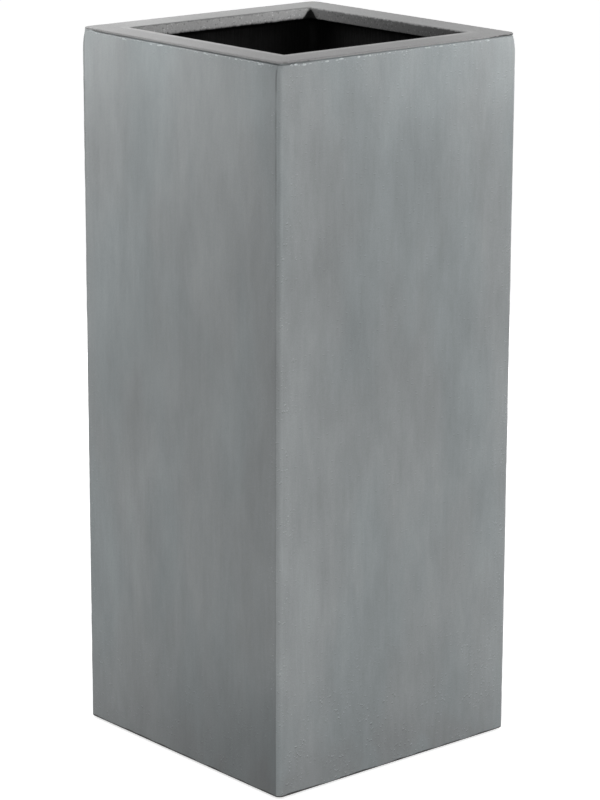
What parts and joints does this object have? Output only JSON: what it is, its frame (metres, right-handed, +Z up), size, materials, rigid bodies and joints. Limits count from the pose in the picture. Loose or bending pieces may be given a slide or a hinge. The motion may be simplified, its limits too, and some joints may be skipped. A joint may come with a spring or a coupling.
{
  "type": "tall square planter",
  "caption": "Tall square floor planter with smooth grey walls, a broad flat rim with a return lip, a dark hollow inside with a lift-out pot shelf, a drain plug and rubber feet.",
  "frame": {"origin": "centre of the square footprint, on the floor that the feet stand on", "axes": "+Z up along the planter's height, X and Y square to its walls"},
  "size_m": [0.38, 0.38, 0.9],
  "materials": {
    "zinc_paint": "glass-fibre laminate under brushed zinc-grey paint, satin",
    "black_laminate": "glass-fibre laminate under matt black resin",
    "black_plastic": "fine-grained black moulding",
    "rubber": "black rubber, matt",
    "screw_steel": "plain steel"
  },
  "bodies": {
    "planter": {"wall_shell": "zinc_paint", "rim_frame": "zinc_paint", "base_tray": "black_laminate", "shelf_ledge_right": "black_laminate", "shelf_ledge_back": "black_laminate", "shelf_ledge_left": "black_laminate", "shelf_ledge_front": "black_laminate", "foot_front_left": "rubber", "foot_front_right": "rubber", "foot_back_right": "rubber", "foot_back_left": "rubber", "foot_screw_front_left": "screw_steel", "foot_screw_front_right": "screw_steel", "foot_screw_back_right": "screw_steel", "foot_screw_back_left": "screw_steel"},
    "pot_shelf": {"pot_shelf": "black_plastic"},
    "drain_plug": {"drain_plug": "rubber"}
  },
  "joints": [
    {"name": "shelf_lift", "type": "slide", "parent": "planter", "child": "pot_shelf", "axis": [0, 0, 1], "range_m": [0, 0.47]},
    {"name": "plug_pull", "type": "slide", "parent": "planter", "child": "drain_plug", "axis": [0, 0, 1], "range_m": [0, 0.12]}
  ]
}
